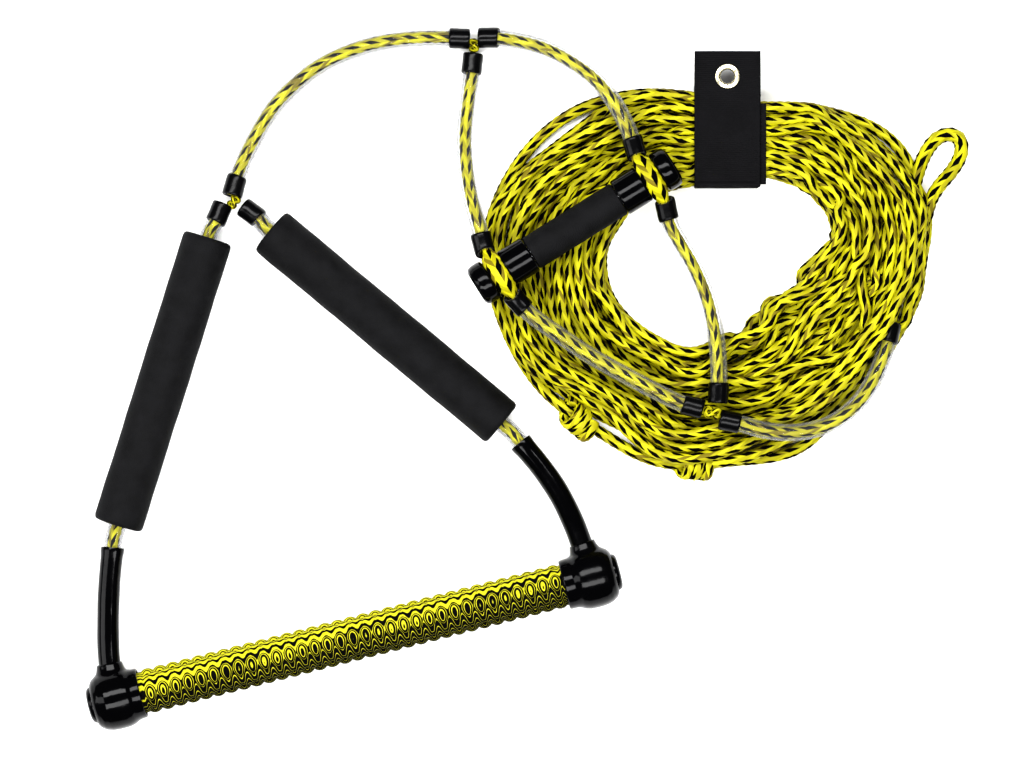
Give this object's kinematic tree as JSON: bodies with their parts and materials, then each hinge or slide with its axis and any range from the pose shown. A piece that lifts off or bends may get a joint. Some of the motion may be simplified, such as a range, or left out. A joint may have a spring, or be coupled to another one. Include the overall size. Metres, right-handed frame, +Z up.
{
  "type": "tow rope handle",
  "caption": "Water sports tow rope: a wide two-hand handle with floats, a short trick handle in a rope diamond, and a coiled braided mainline in a keeper strap.",
  "frame": {"origin": "on the floor under the middle of the box round both handles, without the free ropes, the coil and the keeper", "axes": "+X along the main bar, +Y from the main bar towards its rope, +Z up from the floor that the set lies on"},
  "size_m": [0.6914, 0.4254, 0.0617],
  "materials": {
    "grip_eva": "moulded foam with raised nubs",
    "rope_yellow": "hollow braid with black flecks",
    "black_gloss": "glossy",
    "black_foam": "matte closed-cell foam",
    "clear_pvc": "clear flexible tube",
    "webbing": "ribbed woven webbing",
    "plated_steel": "plated",
    "aluminium": "drawn tube"
  },
  "bodies": {
    "main_handle": {"main_core_tube": "aluminium", "main_grip": "grip_eva", "main_cap_left": "black_gloss", "main_cap_right": "black_gloss", "main_plug_left": "black_gloss", "main_plug_right": "black_gloss", "rope_guard_left": "black_gloss", "rope_guard_right": "black_gloss", "leg_tube_left": "clear_pvc", "leg_tube_right": "clear_pvc", "leg_sleeve_left": "black_gloss", "leg_sleeve_right": "black_gloss", "bridle_rope": "rope_yellow", "splice_first": "rope_yellow"},
    "float_left": {"float_left": "black_foam"},
    "float_right": {"float_right": "black_foam"},
    "leader": {"leader_rope": "rope_yellow", "leader_tube": "clear_pvc", "leader_sleeve_near": "black_gloss", "leader_sleeve_far": "black_gloss", "splice_upper": "rope_yellow"},
    "trick_ropes": {"trick_rope_left": "rope_yellow", "trick_rope_right": "rope_yellow", "trick_eye_left": "rope_yellow", "trick_eye_right": "rope_yellow", "upper_sleeve_left": "black_gloss", "upper_sleeve_right": "black_gloss", "lower_sleeve_left": "black_gloss", "lower_sleeve_right": "black_gloss", "cap_sleeve_upper_left": "black_gloss", "cap_sleeve_upper_right": "black_gloss", "cap_sleeve_lower_left": "black_gloss", "cap_sleeve_lower_right": "black_gloss", "branch_tube_upper_left": "clear_pvc", "branch_tube_upper_right": "clear_pvc", "branch_tube_lower_left": "clear_pvc", "branch_tube_lower_right": "clear_pvc", "splice_lower": "rope_yellow"},
    "trick_bar": {"trick_core": "aluminium", "trick_grip": "black_foam", "trick_cap_left": "black_gloss", "trick_cap_right": "black_gloss"},
    "mainline": {"mainline_sleeve": "black_gloss", "mainline_tube": "clear_pvc", "mainline_end_sleeve": "black_gloss", "mainline_lead": "rope_yellow", "mainline_coil": "rope_yellow", "tow_loop": "rope_yellow", "section_knot": "rope_yellow", "coil_whipping": "rope_yellow", "keeper_strap": "webbing", "keeper_loop": "webbing"},
    "keeper_flap": {"keeper_flap": "webbing", "keeper_eyelet": "plated_steel", "keeper_washer": "plated_steel", "keeper_hook": "webbing"}
  },
  "joints": [
    {"name": "float_left_slide", "type": "slide", "parent": "main_handle", "child": "float_left", "axis": [0.5262, 0.8504, 0], "range_m": [-0.01, 0.004]},
    {"name": "float_right_slide", "type": "slide", "parent": "main_handle", "child": "float_right", "axis": [-0.5864, 0.8101, 0], "range_m": [-0.01, 0.004]},
    {"name": "leader_swing", "type": "hinge", "parent": "main_handle", "child": "leader", "pos_m": [-0.06132, 0.16687, 0.014], "axis": [0, 0, 1], "range_deg": [-1, 30]},
    {"name": "trick_swing", "type": "hinge", "parent": "leader", "child": "trick_ropes", "pos_m": [0.12848, 0.23187, 0.0075], "axis": [0, 0, 1], "range_deg": [-1, 20]},
    {"name": "trick_spin", "type": "hinge", "parent": "trick_ropes", "child": "trick_bar", "pos_m": [0.16468, 0.08987, 0.0466], "axis": [0.9524, 0.3049, 0], "continuous": true},
    {"name": "mainline_swing", "type": "hinge", "parent": "trick_ropes", "child": "mainline", "pos_m": [0.22538, -0.05953, 0.039], "axis": [0, 0, 1], "range_deg": [-5, 1]},
    {"name": "keeper_peel", "type": "hinge", "parent": "mainline", "child": "keeper_flap", "pos_m": [0.27478, 0.09186, 0.0287], "axis": [0.9689, -0.2474, 0], "range_deg": [0, 150]}
  ]
}
